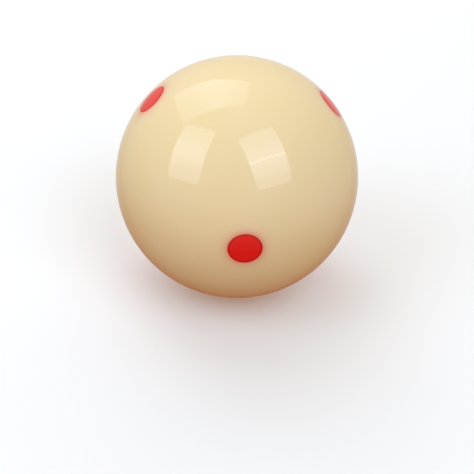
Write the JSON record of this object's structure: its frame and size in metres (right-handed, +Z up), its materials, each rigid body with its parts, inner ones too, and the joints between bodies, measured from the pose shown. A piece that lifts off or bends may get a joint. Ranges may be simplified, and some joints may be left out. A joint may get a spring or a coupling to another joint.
{
  "type": "cue ball",
  "caption": "Ivory-coloured solid resin pool cue ball with flush round red dots on three perpendicular axes, which show its spin.",
  "frame": {"origin": "centre of the ball", "axes": "+Z up, with the ball resting on its lowest point; -Y front, out through the middle of the front dot; the other dots' axes lie in the XZ plane, 45 degrees between X and Z"},
  "size_m": [0.0572, 0.0572, 0.0572],
  "materials": {
    "ivory_resin": "polished, slightly translucent cast resin",
    "red_resin": "polished cast resin, flush with the ball"
  },
  "bodies": {
    "root": {"ball_body": "ivory_resin", "front_dot": "red_resin", "back_dot": "red_resin", "upper_right_dot": "red_resin", "upper_left_dot": "red_resin", "lower_right_dot": "red_resin", "lower_left_dot": "red_resin"}
  },
  "joints": []
}
